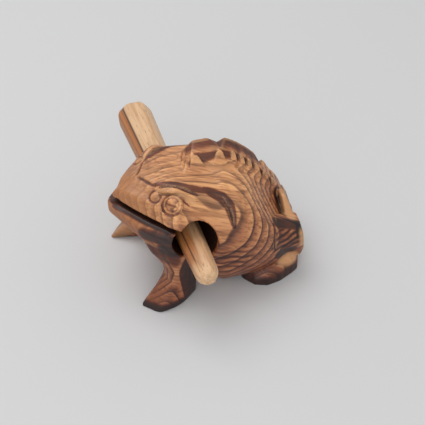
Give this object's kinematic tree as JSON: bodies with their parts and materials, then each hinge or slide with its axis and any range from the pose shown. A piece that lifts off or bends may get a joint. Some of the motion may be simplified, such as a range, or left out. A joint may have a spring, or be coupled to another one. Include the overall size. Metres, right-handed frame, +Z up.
{
  "type": "frog guiro",
  "caption": "Carved wooden frog guiro with a notched spine, sawn mouth and cross-bored sound chamber; its loose tapered striker stick is kept in the bore and slides out.",
  "frame": {"origin": "on the flat underside of the belly, in the frog's middle plane, level with the top of its hump", "axes": "+Z up, the frog faces -Y, its left side is +X; the striker stick lies along X with its thin end at +X"},
  "size_m": [0.105, 0.076, 0.0571],
  "materials": {
    "ring_wood": "oiled, satin, with dark growth rings and scorched recesses",
    "pale_wood": "oiled, satin, whittled"
  },
  "bodies": {
    "frog": {"frog_body": "ring_wood"},
    "stick": {"striker_stick": "pale_wood"}
  },
  "joints": [
    {"name": "stick_pull", "type": "slide", "parent": "frog", "child": "stick", "axis": [-1, 0, 0], "range_m": [-0.037, 0.075]}
  ]
}
